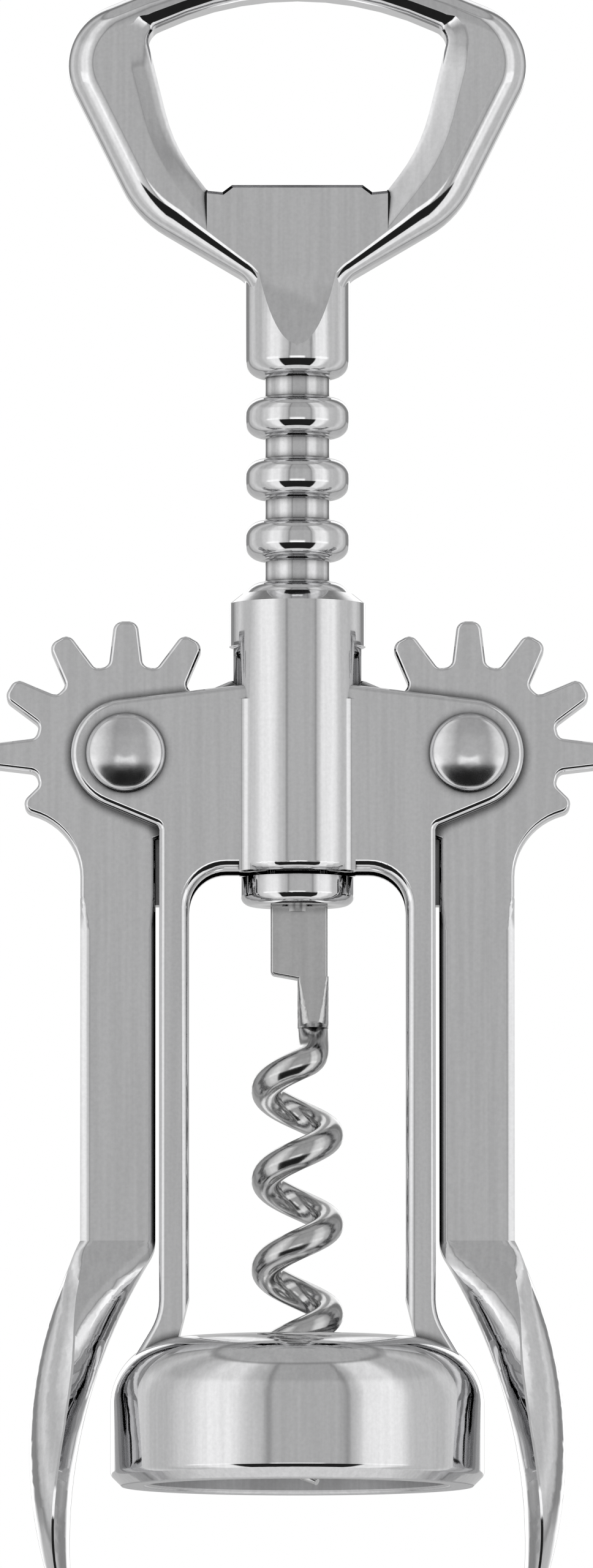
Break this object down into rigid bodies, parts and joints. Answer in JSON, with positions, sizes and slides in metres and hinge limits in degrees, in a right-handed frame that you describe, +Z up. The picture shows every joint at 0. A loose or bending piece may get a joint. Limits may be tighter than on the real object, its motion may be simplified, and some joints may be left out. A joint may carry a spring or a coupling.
{
  "type": "wing corkscrew",
  "caption": "Double-lever corkscrew with toothed wings, a ringed rack rod, a bell cage, a helical worm and a D-shaped cap-lifter head.",
  "frame": {"origin": "on the rod's axis, in the plane of the bell's foot, with the wings down", "axes": "+Z up along the rod to the cap-lifter head, +X towards the right wing, -Y towards the rivets' domed heads"},
  "size_m": [0.0628, 0.0382, 0.1703],
  "materials": {
    "casting": "polished zinc casting, chrome plated",
    "rivet": "chrome-plated steel rivet",
    "worm": "bright-plated steel wire",
    "pin": "plain drawn steel"
  },
  "bodies": {
    "frame": {"frame_casting": "casting", "left_rivet": "rivet", "right_rivet": "rivet"},
    "left_lever": {"left_wing": "casting"},
    "right_lever": {"right_wing": "casting"},
    "slider": {"stop_collar": "casting"},
    "screw": {"handle": "casting", "worm": "worm", "worm_pin": "pin"}
  },
  "joints": [
    {"name": "left_wing_pivot", "type": "hinge", "parent": "frame", "child": "left_lever", "pos_m": [-0.0176, 0, 0.075], "axis": [0, 1, 0], "range_deg": [0, 143]},
    {"name": "right_wing_pivot", "type": "hinge", "parent": "frame", "child": "right_lever", "pos_m": [0.0176, 0, 0.075], "axis": [0, -1, 0], "range_deg": [0, 143]},
    {"name": "rack_slide", "type": "slide", "parent": "frame", "child": "slider", "axis": [0, 0, -1], "range_m": [0, 0.03028]},
    {"name": "handle_spin", "type": "hinge", "parent": "slider", "child": "screw", "pos_m": [0, 0, 0.061], "axis": [0, 0, 1], "continuous": true}
  ],
  "couplings": [
    {"joint": "right_wing_pivot", "follows": "left_wing_pivot", "ratio": 1},
    {"joint": "rack_slide", "follows": "left_wing_pivot", "m_per_rad": 0.012128}
  ]
}
